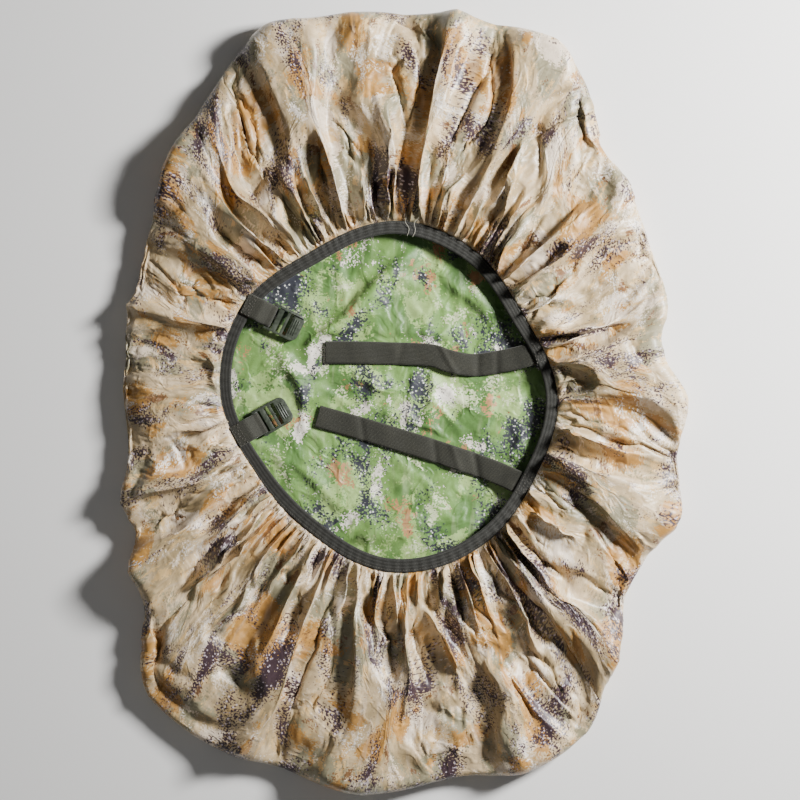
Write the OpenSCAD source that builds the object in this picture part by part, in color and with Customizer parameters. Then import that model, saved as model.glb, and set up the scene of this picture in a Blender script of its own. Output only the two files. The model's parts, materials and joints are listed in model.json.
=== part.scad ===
// Elasticated rain cover for a rucksack, reversible between two prints.
// It lies flat on its big panel with the mouth up. +X is to the right, +Y is towards the top
// of the pack, and the origin is on the floor under the middle of the cover.
// Millimetres and degrees.

/* [Cover] */
// Length of the laid-out cover along Y
cover_l = 866; // [800:1:900]
// Height of the crest of the gathered walls
crest_z = 38; // [34:1:44]
// Radius of the roll where a wall turns up from the floor
roll_r = 13; // [10:0.5:14]
// Thickness of the coated cloth
cloth_t = 1; // [0.8:0.1:1.2]

/* [Rim] */
// Height of the underside of the rim above the floor
rim_z = 14; // [12:0.5:16]
// Width of the folded binding tape
tape_w = 15; // [12:0.5:16]
// Thickness of one ply of binding tape
tape_t = 0.8; // [0.6:0.1:0.9]
// Width of the elastic inside the binding
elastic_w = 7; // [5:0.5:7]
// Thickness of the elastic
elastic_t = 1.5; // [1:0.1:1.6]

/* [Webbing] */
// Width of the strap webbing
web_w = 25; // [20:1:25]
// Thickness of one ply of webbing
web_t = 1.2; // [1:0.1:1.4]
// Free length of a buckle tab, from the rim to the buckle's bar
tab_l = 20; // [18:1:24]

/* [Buckles] */
// Radius of the bar that the tab loops round
bar_r = 2; // [1.6:0.1:2.2]
// Length of the buckle in front of its bar
buckle_l = 36; // [34:1:38]
// Height of the buckle's side rails
rail_h = 4.6; // [4:0.1:5]
// How far the buckle dips towards its lip
buckle_dip = 4; // [2:0.5:5]

/* [Hidden] */
$fn = 48;

// Radius of the laid-out edge every 10 degrees from +X, about the middle of the mouth,
// for a cover 866 long. The four corners are the high values.
edge_radii = [
    315, 300, 325, 335, 345, 365, 415, 430, 425, 425, 425, 425,
    390, 360, 330, 320, 305, 305, 305, 305, 315, 330, 355, 425,
    440, 435, 440, 440, 435, 445, 435, 380, 350, 335, 340, 330
];
// Radius of the middle of the rim every 30 degrees from +X
rim_radii = [179, 164, 176, 184, 173, 186, 184, 168, 171, 191, 190, 179];
nominal_l = 866;
size_k = cover_l / nominal_l;

// Corner seams between the walls, as angles from +X
top_right = 54;
top_left = 118;
bottom_left = 232;
bottom_right = 304;

station = 4; // degrees between sections of a wall
ring_step = 3; // degrees between corners of the rim and the big panel
seam_w = 11; // how far a wall's foot lies in over the big panel
hem_gap = 0.35; // room between the hem and a ply of the binding
elastic_gap = 0.2; // room between the elastic and the fold of the binding
gap = 0.3; // room between a moving piece and what it lies beside
free_in = 4; // how far inside the rim a tab or a strap starts to move

tape_h = 2 * tape_t + cloth_t + 2 * hem_gap; // thickness of the whole binding
elastic_in = -tape_w / 2 + tape_t + elastic_gap; // inner edge of the elastic, from the rim's middle
hem_in = elastic_in + elastic_w + 0.5; // inner edge of the hem, from the rim's middle
rim_top = rim_z + tape_h;
hem_z = rim_z + tape_t + hem_gap; // underside of the hem
tab_top = rim_top + 2 * web_t; // top of a tab's sewn end

// A curve through a closed list of radii, read at any angle
function cubic(p, q, r, s, t) =
    q + t / 2 * (r - p + t * (2 * p - 5 * q + 4 * r - s + t * (3 * (q - r) + s - p)));
function radius_at(list, angle) =
    let (n = len(list), x = ((angle % 360) + 360) % 360 * n / 360, i = floor(x))
    cubic(list[(i + n - 1) % n], list[i % n], list[(i + 1) % n], list[(i + 2) % n], x - i);
function edge_at(angle) = size_k * radius_at(edge_radii, angle);
function rim_at(angle) = size_k * radius_at(rim_radii, angle);

// The middle of the mouth, placed so that the laid-out cover is centred on the origin
edge_angles = [for (a = [0:station:359]) a];
edge_x = [for (a = edge_angles) edge_at(a) * cos(a)];
edge_y = [for (a = edge_angles) edge_at(a) * sin(a)];
mouth = [-(max(edge_x) + min(edge_x)) / 2, -(max(edge_y) + min(edge_y)) / 2];
function about_mouth(angle, r) = [mouth[0] + r * cos(angle), mouth[1] + r * sin(angle)];

// A smooth open curve through points, with the given number of steps between two of them
function curve_point(list, i, t) =
    let (n = len(list) - 1)
    cubic(list[max(i - 1, 0)], list[i], list[i + 1], list[min(i + 2, n)], t);
function curve(list, steps) = [
    for (i = [0:len(list) - 2], j = [0:steps - 1]) curve_point(list, i, j / steps),
    list[len(list) - 1]
];

// Joins rings of points into one closed solid. Each ring is a strip: out along one face of the
// sheet and back along the other.
module sheet(rings) {
    m = len(rings[0]);
    last = (len(rings) - 1) * m;
    points = [for (ring = rings, p = ring) p];
    sides = [
        for (k = [0:len(rings) - 2], i = [0:m - 1])
            let (j = (i + 1) % m, a = k * m)
            each [[a + i, a + j, a + m + j], [a + i, a + m + j, a + m + i]]
    ];
    caps = [
        for (i = [0:m / 2 - 2])
            let (o = m - 1 - i)
            each [[i, o, o - 1], [i, o - 1, i + 1],
                  [last + i, last + o - 1, last + o], [last + i, last + i + 1, last + o - 1]]
    ];
    polyhedron(points = points, faces = concat(sides, caps), convexity = 6);
}

// Section of a wall as [radius, height]: foot on the big panel, roll, crest, hem in the binding.
// depth is 0 on the outside of the cloth and cloth_t on its inside.
roll_end = 75; // angle at which the roll gives way to the crest
roll_step = 27.5; // degrees between points of the roll
crest_step = 0.15; // share of the crest's width between its points
hem_flat = 2; // level stretch of the hem outside the binding
function wall_face(angle, depth) =
    let (
        out = edge_at(angle),
        rim = rim_at(angle),
        middle = out - roll_r,
        roll_z = cloth_t + roll_r,
        top_r = middle + roll_r * cos(roll_end),
        top_z = roll_z + roll_r * sin(roll_end),
        hem_r = rim + tape_w / 2 + hem_flat,
        hem_top = hem_z + cloth_t,
        rise = crest_z - (top_z + hem_top) / 2
    )
    concat(
        [[middle - seam_w, cloth_t + depth]],
        [for (a = [-90:roll_step:roll_end]) [middle + (roll_r - depth) * cos(a),
                                             roll_z + (roll_r - depth) * sin(a)]],
        [for (t = [crest_step:crest_step:0.9])
            [top_r + (hem_r - top_r) * t,
             top_z + (hem_top - top_z) * t + rise * sin(180 * t) - depth]],
        [[hem_r, hem_top - depth], [rim + hem_in, hem_top - depth]]
    );
function reversed(list) = [for (i = [len(list) - 1:-1:0]) list[i]];
function wall_ring(angle) = [
    for (p = concat(wall_face(angle, 0), reversed(wall_face(angle, cloth_t))))
        concat(about_mouth(angle, p[0]), p[1])
];
module wall(from, to) {
    inner = [for (a = [ceil((from + 1) / station):floor((to - 1) / station)]) a * station];
    color("tan") sheet([for (a = concat([from], inner, [to])) wall_ring(a)]);
}

// Flat ring that follows the rim, between two distances from its middle
module rim_ring(from, to) {
    difference() {
        polygon([for (a = [0:ring_step:359]) about_mouth(a, rim_at(a) + to)]);
        polygon([for (a = [0:ring_step:359]) about_mouth(a, rim_at(a) + from)]);
    }
}

module base_panel() {
    color("olivedrab")
        linear_extrude(cloth_t)
            polygon([for (a = [0:ring_step:359]) about_mouth(a, edge_at(a) - roll_r)]);
}

// Tape folded over the rim: two plies and the fold between them, open on the outside
module rim_binding() {
    half = tape_w / 2;
    color("darkslategray") union() {
        translate([0, 0, rim_z]) linear_extrude(tape_t) rim_ring(-half, half);
        translate([0, 0, rim_top - tape_t]) linear_extrude(tape_t) rim_ring(-half, half);
        translate([0, 0, rim_z]) linear_extrude(tape_h) rim_ring(-half, -half + tape_t);
    }
}

module rim_elastic() {
    color("black")
        translate([0, 0, rim_z + (tape_h - elastic_t) / 2])
            linear_extrude(elastic_t) rim_ring(elastic_in, elastic_in + elastic_w);
}

// A webbing end at the rim: angle round the mouth, and the way that it points inward
upper_tab_at = 148;
upper_tab_way = -26;
lower_tab_at = 195;
lower_tab_way = 30;
upper_strap_at = 15.5;
lower_strap_at = -35;

// Moves a piece drawn along +X from the inner edge of the binding to its place on the rim
function rim_edge(at) = about_mouth(at, rim_at(at) - tape_w / 2);
module at_rim(at, way) {
    translate(concat(rim_edge(at), 0)) rotate([0, 0, way]) children();
}

// The sewn end of a piece of webbing lies across the binding and a little way past it
root_out = tape_w - 2.5;
root_in = free_in - gap;
module root(at, way, z, plies) {
    color("dimgray")
        at_rim(at, way)
            translate([-root_out, -web_w / 2, z]) cube([root_out + root_in, web_w, plies * web_t]);
}
module tab_root(at, way) {
    root(at, way, rim_top, 2);
}
module strap_root(at, way) {
    root(at, way, rim_z - web_t, 1);
}

// Two rows of lockstitches across a sewn end, and one diagonal row between them
stitch = [2.2, 0.7, 0.35];
module stitch_row(from, to, count) {
    way = atan2(to[1] - from[1], to[0] - from[0]);
    for (i = [0:count - 1])
        translate(concat(from + (to - from) * (i + 0.5) / count, 0))
            rotate([0, 0, way]) translate([-stitch[0] / 2, -stitch[1] / 2, 0]) cube(stitch);
}
row_inset = 1.5; // from the sewn end's edges to a row of stitches
diagonal_inset = 3; // from the ends of the rows to the ends of the diagonal
module box_stitches(at, way, z) {
    near = -row_inset - 1;
    far = -root_out + row_inset;
    side = web_w / 2 - row_inset;
    corner = side - diagonal_inset;
    color("black")
        at_rim(at, way) translate([0, 0, z]) {
            stitch_row([near, -side], [near, side], 7);
            stitch_row([far, -side], [far, side], 7);
            stitch_row([far + row_inset, -corner], [near - row_inset, corner], 5);
        }
}

// A tab: two plies that slope from the rim down to a loop round the buckle's bar
loop_gap = 0.08; // running clearance between the loop and the bar
bar_z = 8.5; // height of the bar above the floor
loop_r = bar_r + loop_gap + web_t;
module tab_plies() {
    slope = curve([[free_in, rim_top + web_t], [free_in + 3, rim_top + web_t - 0.8],
                   [free_in + 8, rim_z], [tab_l - 3, bar_z + 2.2], [tab_l, bar_z]], 5);
    top = [for (p = slope) p + [0, web_t]];
    under = [for (p = slope) p - [0, web_t]];
    translate([0, 0, -web_w / 2]) linear_extrude(web_w) polygon(concat(top, reversed(under)));
}
module tab(at, way) {
    color("dimgray")
        at_rim(at, way) rotate([90, 0, 0]) difference() {
            union() {
                tab_plies();
                translate([tab_l, bar_z, 0]) cylinder(r = loop_r, h = web_w, center = true);
            }
            translate([tab_l, bar_z, 0])
                cylinder(r = bar_r + loop_gap, h = web_w + 2, center = true);
        }
}

// Ladder-lock buckle along +X from its bar: rails, bar, keeper, grip bar and a lifting lip
buckle_w = web_w + 6;
rail_w = 2.6;
slot_w = buckle_w - 2 * rail_w;
keeper = [5.5, 11]; // near and far edges of the keeper, from the bar
grip = [15.6, 19]; // near and far edges of the grip bar
lip = 23.2; // near edge of the lip
lip_top = 1; // top of the lip, above the buckle's middle
corner_r = 8;
ridge_r = 0.6;
ridge_pitch = 2.6;
bite = 0.5; // how far a bar runs into each rail
module cross_bar(span, low, high) {
    translate([span[0], -slot_w / 2 - bite, low])
        cube([span[1] - span[0], slot_w + 2 * bite, high - low]);
}
module buckle_outline() {
    back = -bar_r - 1;
    half = buckle_w / 2;
    translate([back, -half]) square([buckle_l - corner_r - back, buckle_w]);
    translate([back, -half + corner_r]) square([buckle_l - back, buckle_w - 2 * corner_r]);
    for (y = [-1, 1]) translate([buckle_l - corner_r, y * (half - corner_r)]) circle(r = corner_r);
}
module buckle(at, way) {
    color("darkolivegreen")
        at_rim(at, way) translate([tab_l, 0, bar_z]) rotate([0, buckle_dip, 0]) union() {
            difference() {
                translate([0, 0, -rail_h / 2]) linear_extrude(rail_h) buckle_outline();
                translate([-lip, -slot_w / 2, -rail_h]) cube([2 * lip, slot_w, 2 * rail_h]);
                translate([0, -slot_w / 2, lip_top]) cube([2 * buckle_l, slot_w, rail_h]);
            }
            rotate([90, 0, 0]) cylinder(r = bar_r, h = slot_w + 2 * bite, center = true);
            cross_bar(keeper, -1.6, 1.4);
            cross_bar(grip, -1.2, 1.8);
            for (x = [lip + 2.3:ridge_pitch:buckle_l - 3])
                translate([x, 0, lip_top]) rotate([90, 0, 0])
                    cylinder(r = ridge_r, h = slot_w - corner_r, center = true);
        }
}

// A strap lies from under the rim across the mouth, through these points [x, y, z]
upper_route = [
    [117, 44, 8.5], [83, 39, 5], [56, 43, 7.5], [33, 50, 6], [-11, 52, 4.5], [-50, 53, 5.5], [-83, 53, 5]
];
lower_route = [
    [108, -81, 8.5], [84, -72, 5], [60, -64, 6.5], [33, -55, 5], [-22, -38, 5.5], [-60, -27, 4.5],
    [-92, -18, 5]
];
lead_l = 10; // how far a strap leads straight out from under the rim
level_l = 1; // level stretch at the start of a strap, square to its sewn end
function route(at, way, points) =
    let (
        start = rim_edge(at),
        lead = [cos(way), sin(way)],
        lead_z = rim_z - web_t / 2,
        from = concat(start + free_in * lead, lead_z),
        level = concat(start + (free_in + level_l) * lead, lead_z),
        led = concat(start + lead_l * lead, lead_z - 1)
    )
    concat([from], curve(concat([level, led], [for (p = points) p * size_k]), 5));
function web_ring(line, k) =
    let (
        ahead = line[min(k + 1, len(line) - 1)] - line[max(k - 1, 0)],
        flat = norm([ahead[0], ahead[1]]),
        side = [-ahead[1], ahead[0], 0] / flat * web_w / 2,
        up = cross(ahead, side) / norm(cross(ahead, side)) * web_t / 2,
        p = line[k]
    )
    [p + side + up, p - side + up, p - side - up, p + side - up];
module strap(at, way, points) {
    line = route(at, way, points);
    color("dimgray") sheet([for (k = [0:len(line) - 1]) web_ring(line, k)]);
}
upper_strap_way = 196;
lower_strap_way = 155;

base_panel();
wall(top_right, top_left);  // top_wall
wall(top_left, bottom_left);  // left_wall
wall(bottom_left, bottom_right);  // bottom_wall
wall(bottom_right, top_right + 360);  // right_wall
rim_binding();
rim_elastic();
tab_root(upper_tab_at, upper_tab_way);  // upper_tab_root
tab_root(lower_tab_at, lower_tab_way);  // lower_tab_root
strap_root(upper_strap_at, upper_strap_way);  // upper_strap_root
strap_root(lower_strap_at, lower_strap_way);  // lower_strap_root
box_stitches(upper_tab_at, upper_tab_way, tab_top);  // upper_tab_stitches
box_stitches(lower_tab_at, lower_tab_way, tab_top);  // lower_tab_stitches
box_stitches(upper_strap_at, upper_strap_way, rim_top);  // upper_strap_stitches
box_stitches(lower_strap_at, lower_strap_way, rim_top);  // lower_strap_stitches
tab(upper_tab_at, upper_tab_way);  // upper_tab
tab(lower_tab_at, lower_tab_way);  // lower_tab
buckle(upper_tab_at, upper_tab_way);  // upper_buckle
buckle(lower_tab_at, lower_tab_way);  // lower_buckle
strap(upper_strap_at, upper_strap_way, upper_route);  // upper_strap
strap(lower_strap_at, lower_strap_way, lower_route);  // lower_strap
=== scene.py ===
import json
import math
import bmesh
import bpy
import numpy as np
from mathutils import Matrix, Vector


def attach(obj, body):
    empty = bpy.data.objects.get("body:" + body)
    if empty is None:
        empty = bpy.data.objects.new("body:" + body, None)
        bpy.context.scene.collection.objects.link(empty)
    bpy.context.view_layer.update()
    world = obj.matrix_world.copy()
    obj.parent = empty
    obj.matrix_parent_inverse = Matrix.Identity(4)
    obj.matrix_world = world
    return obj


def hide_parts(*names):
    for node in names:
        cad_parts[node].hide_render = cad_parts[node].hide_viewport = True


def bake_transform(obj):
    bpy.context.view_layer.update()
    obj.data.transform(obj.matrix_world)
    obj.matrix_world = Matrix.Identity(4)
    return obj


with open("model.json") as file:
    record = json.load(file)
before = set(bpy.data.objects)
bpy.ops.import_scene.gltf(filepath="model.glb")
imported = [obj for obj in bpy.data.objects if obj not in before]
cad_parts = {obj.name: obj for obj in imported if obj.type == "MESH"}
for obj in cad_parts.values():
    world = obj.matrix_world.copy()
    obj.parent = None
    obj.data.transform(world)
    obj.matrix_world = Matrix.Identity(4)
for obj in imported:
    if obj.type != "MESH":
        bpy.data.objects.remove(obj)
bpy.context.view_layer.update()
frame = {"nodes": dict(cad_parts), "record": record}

nodes = frame["nodes"]
mounts = {m["name"]: m["pos_m"] for m in frame["record"]["mounts"]}
mouth = np.array(mounts["mouth"][:2])
scene = bpy.context.scene


def placed(name, data):  # a new object, put in the scene
    made = bpy.data.objects.new(name, data)
    scene.collection.objects.link(made)
    return made


# camera, lights and floor
studio = {
    "cameraHeight": 2.4, "viewWidth": 0.888, "viewLevel": 0.015,
    "keyPlace": (1.35, 0.60, 0.95), "keySize": 0.40, "keyPower": 112,
    "fillPlace": (-0.9, -1.1, 1.5), "fillSize": 1.6, "fillPower": 3,
    "skyStrength": 0.075, "floorColour": (0.80, 0.79, 0.77),
}


def addLight(name, place, size, power):
    lamp = bpy.data.lights.new(name, "AREA")
    lamp.energy, lamp.size = power, size
    light = placed(name, lamp)
    light.location = place
    light.rotation_euler = (-Vector(place)).to_track_quat("-Z", "Y").to_euler()


def makeStudio():
    lens = bpy.data.cameras.new("topCamera")
    lens.sensor_width = 36
    lens.lens = 36 * (studio["cameraHeight"] - studio["viewLevel"]) / studio["viewWidth"]
    camera = placed("topCamera", lens)
    camera.location = (0, 0, studio["cameraHeight"])
    scene.camera = camera
    addLight("keyLight", studio["keyPlace"], studio["keySize"], studio["keyPower"])
    addLight("fillLight", studio["fillPlace"], studio["fillSize"], studio["fillPower"])
    world = bpy.data.worlds.new("studioSky")
    world.use_nodes = True
    world.node_tree.nodes["Background"].inputs[0].default_value = (1, 1, 1, 1)
    world.node_tree.nodes["Background"].inputs[1].default_value = studio["skyStrength"]
    scene.world = world
    sheet = bpy.data.meshes.new("paleFloor")
    sheet.from_pydata([(-4, -4, 0), (4, -4, 0), (4, 4, 0), (-4, 4, 0)], [], [(0, 1, 2, 3)])
    floor = placed("paleFloor", sheet)
    paint = bpy.data.materials.new("palePaint")
    paint.use_nodes = True
    shader = paint.node_tree.nodes["Principled BSDF"]
    shader.inputs["Base Color"].default_value = (*studio["floorColour"], 1)
    shader.inputs["Roughness"].default_value = 0.8
    sheet.materials.append(paint)


makeStudio()
print("studio ready")


# short-hands for materials
def tint(red, green, blue):  # a screen colour, 0 to 255, as a shader colour
    def one(c):
        c /= 255
        return c / 12.92 if c <= 0.04045 else ((c + 0.055) / 1.055) ** 2.4
    return (one(red), one(green), one(blue), 1)


class Mixer:  # adds the nodes of one material, in the order that they are wanted
    def __init__(self, name, mapName=None):
        self.material = bpy.data.materials.new(name)
        self.material.use_nodes = True
        self.tree = self.material.node_tree
        self.shader = self.tree.nodes["Principled BSDF"]
        if mapName:
            place = self.tree.nodes.new("ShaderNodeUVMap")
            place.uv_map = mapName
            self.place = place.outputs[0]
        else:
            self.place = self.tree.nodes.new("ShaderNodeTexCoord").outputs["Object"]

    def feed(self, socket, value):
        if isinstance(value, bpy.types.NodeSocket):
            self.tree.links.new(value, socket)
        else:
            socket.default_value = value

    def stretched(self, scale, shift=(0, 0, 0)):
        node = self.tree.nodes.new("ShaderNodeMapping")
        node.inputs["Location"].default_value = shift
        node.inputs["Scale"].default_value = scale
        self.feed(node.inputs["Vector"], self.place)
        return node.outputs[0]

    def cloud(self, size, detail=2, rough=0.5, stretch=(1, 1, 1), shift=(0, 0, 0), warp=0):
        node = self.tree.nodes.new("ShaderNodeTexNoise")
        self.feed(node.inputs["Vector"], self.stretched(stretch, shift))
        node.inputs["Scale"].default_value = 1 / size
        node.inputs["Detail"].default_value = detail
        node.inputs["Roughness"].default_value = rough
        node.inputs["Distortion"].default_value = warp
        return node.outputs["Fac"]

    def cells(self, size, shift=(0, 0, 0), stretch=(1, 1, 1)):
        node = self.tree.nodes.new("ShaderNodeTexVoronoi")
        self.feed(node.inputs["Vector"], self.stretched(stretch, shift))
        node.inputs["Scale"].default_value = 1 / size
        return node.outputs["Distance"]

    def bands(self, pitch, along="X"):  # sine ribs, one every pitch metres
        node = self.tree.nodes.new("ShaderNodeTexWave")
        node.wave_profile, node.bands_direction = "SIN", along
        self.feed(node.inputs["Vector"], self.stretched((1, 1, 1)))
        node.inputs["Scale"].default_value = math.pi / 10 / pitch
        return node.outputs["Fac"]

    def calc(self, how, a, b=0.0):
        node = self.tree.nodes.new("ShaderNodeMath")
        node.operation = how
        self.feed(node.inputs[0], a)
        self.feed(node.inputs[1], b)
        return node.outputs[0]

    def ramp(self, value, low, high, start=0.0, end=1.0):
        node = self.tree.nodes.new("ShaderNodeMapRange")
        node.interpolation_type = "SMOOTHSTEP"
        self.feed(node.inputs["Value"], value)
        for key, number in (("From Min", low), ("From Max", high), ("To Min", start), ("To Max", end)):
            node.inputs[key].default_value = number
        return node.outputs[0]

    def over(self, amount, under, upper, how="MIX"):
        node = self.tree.nodes.new("ShaderNodeMix")
        node.data_type, node.blend_type = "RGBA", how
        self.feed(node.inputs["Factor"], amount)
        self.feed(node.inputs[6], under)
        self.feed(node.inputs[7], upper)
        return node.outputs[2]

    def raised(self, height, distance, strength=1.0, before=None):
        node = self.tree.nodes.new("ShaderNodeBump")
        node.inputs["Distance"].default_value = distance
        node.inputs["Strength"].default_value = strength
        self.feed(node.inputs["Height"], height)
        if before is not None:
            self.feed(node.inputs["Normal"], before)
        return node.outputs[0]

    def finish(self, colour, rough, normal, **fixed):
        self.feed(self.shader.inputs["Base Color"], colour)
        self.feed(self.shader.inputs["Roughness"], rough)
        self.feed(self.shader.inputs["Normal"], normal)
        for key, value in fixed.items():
            self.shader.inputs[key].default_value = value
        return self.material


# the two prints
desertPrint = {
    "ground": tint(212, 188, 148), "second": tint(176, 154, 114), "groundSize": 0.07, "detail": 4,
    "mottle": 0.34, "streaks": 0.35,
    "patches": [  # colour, size, stretch, from, edge, stipple, shift
        (tint(150, 142, 112), 0.075, (1, 0.8, 1), 0.53, 0.020, 0.16, (3, 1, 0)),
        (tint(228, 210, 186), 0.050, (1, 0.8, 1), 0.57, 0.030, 0.22, (7, 4, 0)),
        (tint(186, 138, 70), 0.058, (1, 0.8, 1), 0.545, 0.020, 0.20, (1, 9, 0)),
        (tint(212, 178, 122), 0.016, (1.4, 0.6, 1), 0.590, 0.020, 0.30, (1, 9, 0)),
        (tint(128, 92, 56), 0.026, (1, 0.7, 1), 0.640, 0.020, 0.26, (1, 9, 0)),
        (tint(232, 222, 208), 0.040, (1, 0.75, 1), 0.630, 0.020, 0.46, (5, 5, 0)),
    ],
    "dark": tint(66, 48, 54), "darkSize": 0.046, "darkStretch": (1, 0.62, 1), "darkFrom": 0.568,
    "darkStipple": 0.46, "dots": tint(206, 190, 200), "dotSize": 0.0040, "speck": 0.0022,
}
woodlandPrint = {
    "ground": tint(116, 154, 80), "second": tint(88, 126, 62), "groundSize": 0.06, "detail": 4,
    "mottle": 0.26, "streaks": 0.20,
    "patches": [
        (tint(156, 186, 112), 0.046, (1, 0.8, 1), 0.55, 0.015, 0.20, (2, 6, 0)),
        (tint(200, 212, 166), 0.034, (1, 0.8, 1), 0.62, 0.030, 0.40, (8, 3, 0)),
        (tint(236, 230, 216), 0.042, (1, 0.7, 1), 0.600, 0.012, 0.26, (4, 2, 0)),
        (tint(180, 134, 88), 0.034, (1, 0.8, 1), 0.630, 0.020, 0.26, (6, 8, 0)),
    ],
    "dark": tint(52, 54, 62), "darkSize": 0.044, "darkStretch": (1, 0.75, 1), "darkFrom": 0.568,
    "darkStipple": 0.42, "dots": tint(218, 220, 216), "dotSize": 0.0040, "speck": 0.0024,
}


def printedCloth(name, pattern, mapName=None):
    mix = Mixer(name, mapName)
    speck = mix.cloud(pattern["speck"], 1, 0.5)
    colour = mix.over(mix.ramp(mix.cloud(pattern["groundSize"], 2), 0.44, 0.56),
                      pattern["ground"], pattern["second"])
    grain = mix.calc("SUBTRACT", speck, 0.5)
    for shade, size, stretch, start, edge, stipple, shift in pattern["patches"]:
        field = mix.calc("ADD", mix.cloud(size, pattern["detail"], 0.56, stretch, shift, warp=0.3),
                         mix.calc("MULTIPLY", grain, stipple))
        colour = mix.over(mix.ramp(field, start, start + edge), colour, shade)
    streaks = mix.cloud(0.02, 2, 0.6, (2.2, 0.35, 1), (4, 7, 0))
    paleStreak = pattern["patches"][1][0]
    colour = mix.over(mix.ramp(streaks, 0.52, 0.72, 0, pattern["streaks"]), colour, paleStreak)
    blob = mix.calc("ADD", mix.cloud(pattern["darkSize"], pattern["detail"], 0.55,
                                     pattern["darkStretch"], (2, 2, 0), warp=0.5),
                    mix.calc("MULTIPLY", grain, pattern["darkStipple"]))
    darkness = mix.ramp(blob, pattern["darkFrom"], pattern["darkFrom"] + 0.045)
    colour = mix.over(darkness, colour, pattern["dark"])
    dots = mix.ramp(mix.cells(pattern["dotSize"]), 0.20, 0.30, 1, 0)
    near = mix.ramp(mix.cloud(pattern["darkSize"], 3, 0.55, pattern["darkStretch"], (2, 2, 0), warp=0.5),
                    pattern["darkFrom"] - 0.06, pattern["darkFrom"] + 0.02)
    sparse = mix.ramp(mix.cloud(0.008, 1, 0.5, shift=(9, 9, 0)), 0.36, 0.46)
    dots = mix.calc("MULTIPLY", mix.calc("MULTIPLY", dots, near), sparse)
    colour = mix.over(dots, colour, pattern["dots"])
    mottle = mix.cloud(0.007, 4, 0.7, shift=(5, 1, 2))
    colour = mix.over(mix.ramp(mottle, 0.62, 0.38, 0, pattern["mottle"]), colour,
                      (0.42, 0.36, 0.30, 1), "MULTIPLY")  # the print breaks up in the weave
    colour = mix.over(mix.ramp(mix.cloud(0.10, 3, 0.6, shift=(5, 1, 2)), 0.35, 0.7, 0, 0.16), colour,
                      (0.30, 0.26, 0.22, 1), "MULTIPLY")  # handling marks
    weave = mix.calc("ADD", mix.bands(0.0009, "X"), mix.bands(0.0009, "Y"))
    creases = mix.calc("SUBTRACT", mix.cloud(0.030, 2, 0.5, shift=(6, 3, 0), warp=0.6), 0.5)
    normal = mix.raised(mix.ramp(mix.calc("ABSOLUTE", creases), 0, 0.10, 1, 0), 0.0012, 0.45)
    normal = mix.raised(mix.cloud(0.006, 3, 0.6, shift=(1, 3, 0)), 0.0005, 0.5, normal)
    normal = mix.raised(weave, 0.00012, 0.35, normal)
    rough = mix.ramp(mix.cloud(0.03, 3, 0.6, shift=(3, 3, 3)), 0.3, 0.7, 0.36, 0.50)
    return mix.finish(colour, rough, normal, **{"Specular IOR Level": 0.55, "Sheen Weight": 0.10,
                                                "Sheen Roughness": 0.4, "Coat Weight": 0.22,
                                                "Coat Roughness": 0.30})


def wovenTape(name, dark, light, ribPitch, crossPitch, mapName, ribDepth=0.0004):
    mix = Mixer(name, mapName)
    ribs, across = mix.bands(ribPitch, "X"), mix.bands(crossPitch, "Y")
    weave = mix.calc("MULTIPLY", ribs, across)
    fuzz = mix.cloud(0.0012, 3, 0.7)
    worn = mix.ramp(mix.cloud(0.02, 3, 0.6), 0.40, 0.75)
    colour = mix.over(mix.calc("MULTIPLY", weave, 0.7), dark, light)
    colour = mix.over(mix.calc("MULTIPLY", worn, 0.30), colour, light)
    colour = mix.over(mix.ramp(fuzz, 0.35, 0.65, 0, 0.5), colour, dark, "MULTIPLY")
    normal = mix.raised(mix.calc("ADD", weave, mix.calc("MULTIPLY", fuzz, 0.5)), ribDepth, 0.8)
    return mix.finish(colour, mix.ramp(fuzz, 0.3, 0.7, 0.62, 0.85), normal,
                      **{"Specular IOR Level": 0.35, "Sheen Weight": 0.25, "Sheen Roughness": 0.45})


def plainFinish(name, dark, light, size, low, high, depth, **fixed):
    mix = Mixer(name)
    field = mix.cloud(size, 3, 0.6)
    colour = mix.over(mix.ramp(field, 0.35, 0.65), dark, light)
    return mix.finish(colour, mix.ramp(field, 0.3, 0.7, low, high), mix.raised(field, depth, 0.6), **fixed)


desertOutside = printedCloth("desertOutside", desertPrint, "flatCut")
woodlandInside = printedCloth("woodlandInside", woodlandPrint, "flatCut")
desertUnder = printedCloth("desertUnder", desertPrint)
woodlandPanel = printedCloth("woodlandPanel", woodlandPrint)
bindingRib = wovenTape("bindingRib", tint(32, 32, 27), tint(54, 53, 47), 0.0012, 0.0036, "tapeMap")
webbingWeave = wovenTape("webbingWeave", tint(36, 36, 27), tint(62, 61, 48), 0.0012, 0.0014, "tapeMap")
darkThread = plainFinish("darkThread", tint(44, 42, 38), tint(84, 80, 72), 0.0008, 0.55, 0.8, 0.0001)
paleThread = plainFinish("paleThread", tint(150, 146, 130), tint(190, 186, 170), 0.0008, 0.5, 0.75, 0.0001)
buckleNylon = plainFinish("buckleNylon", tint(50, 55, 46), tint(62, 68, 57), 0.004, 0.30, 0.48, 0.00008,
                          **{"Specular IOR Level": 0.5, "Coat Weight": 0.1, "Coat Roughness": 0.3})
blackElastic = plainFinish("blackElastic", tint(24, 24, 24), tint(48, 48, 48), 0.001, 0.6, 0.85, 0.0001)
print("materials ready")


# mesh helpers
def coordsOf(node):
    mesh = nodes[node].data
    flat = np.zeros(len(mesh.vertices) * 3)
    mesh.vertices.foreach_get("co", flat)
    return flat.reshape(-1, 3)


def ringOf(node, pick):  # a node's radius about the mouth at every 3 degrees
    points = coordsOf(node)
    away = points[:, :2] - mouth
    slot = np.round(np.degrees(np.arctan2(away[:, 1], away[:, 0])) % 360 / 3).astype(int) % 120
    reach = np.hypot(away[:, 0], away[:, 1])
    return np.array([pick(reach[slot == k]) for k in range(120)])


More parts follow.
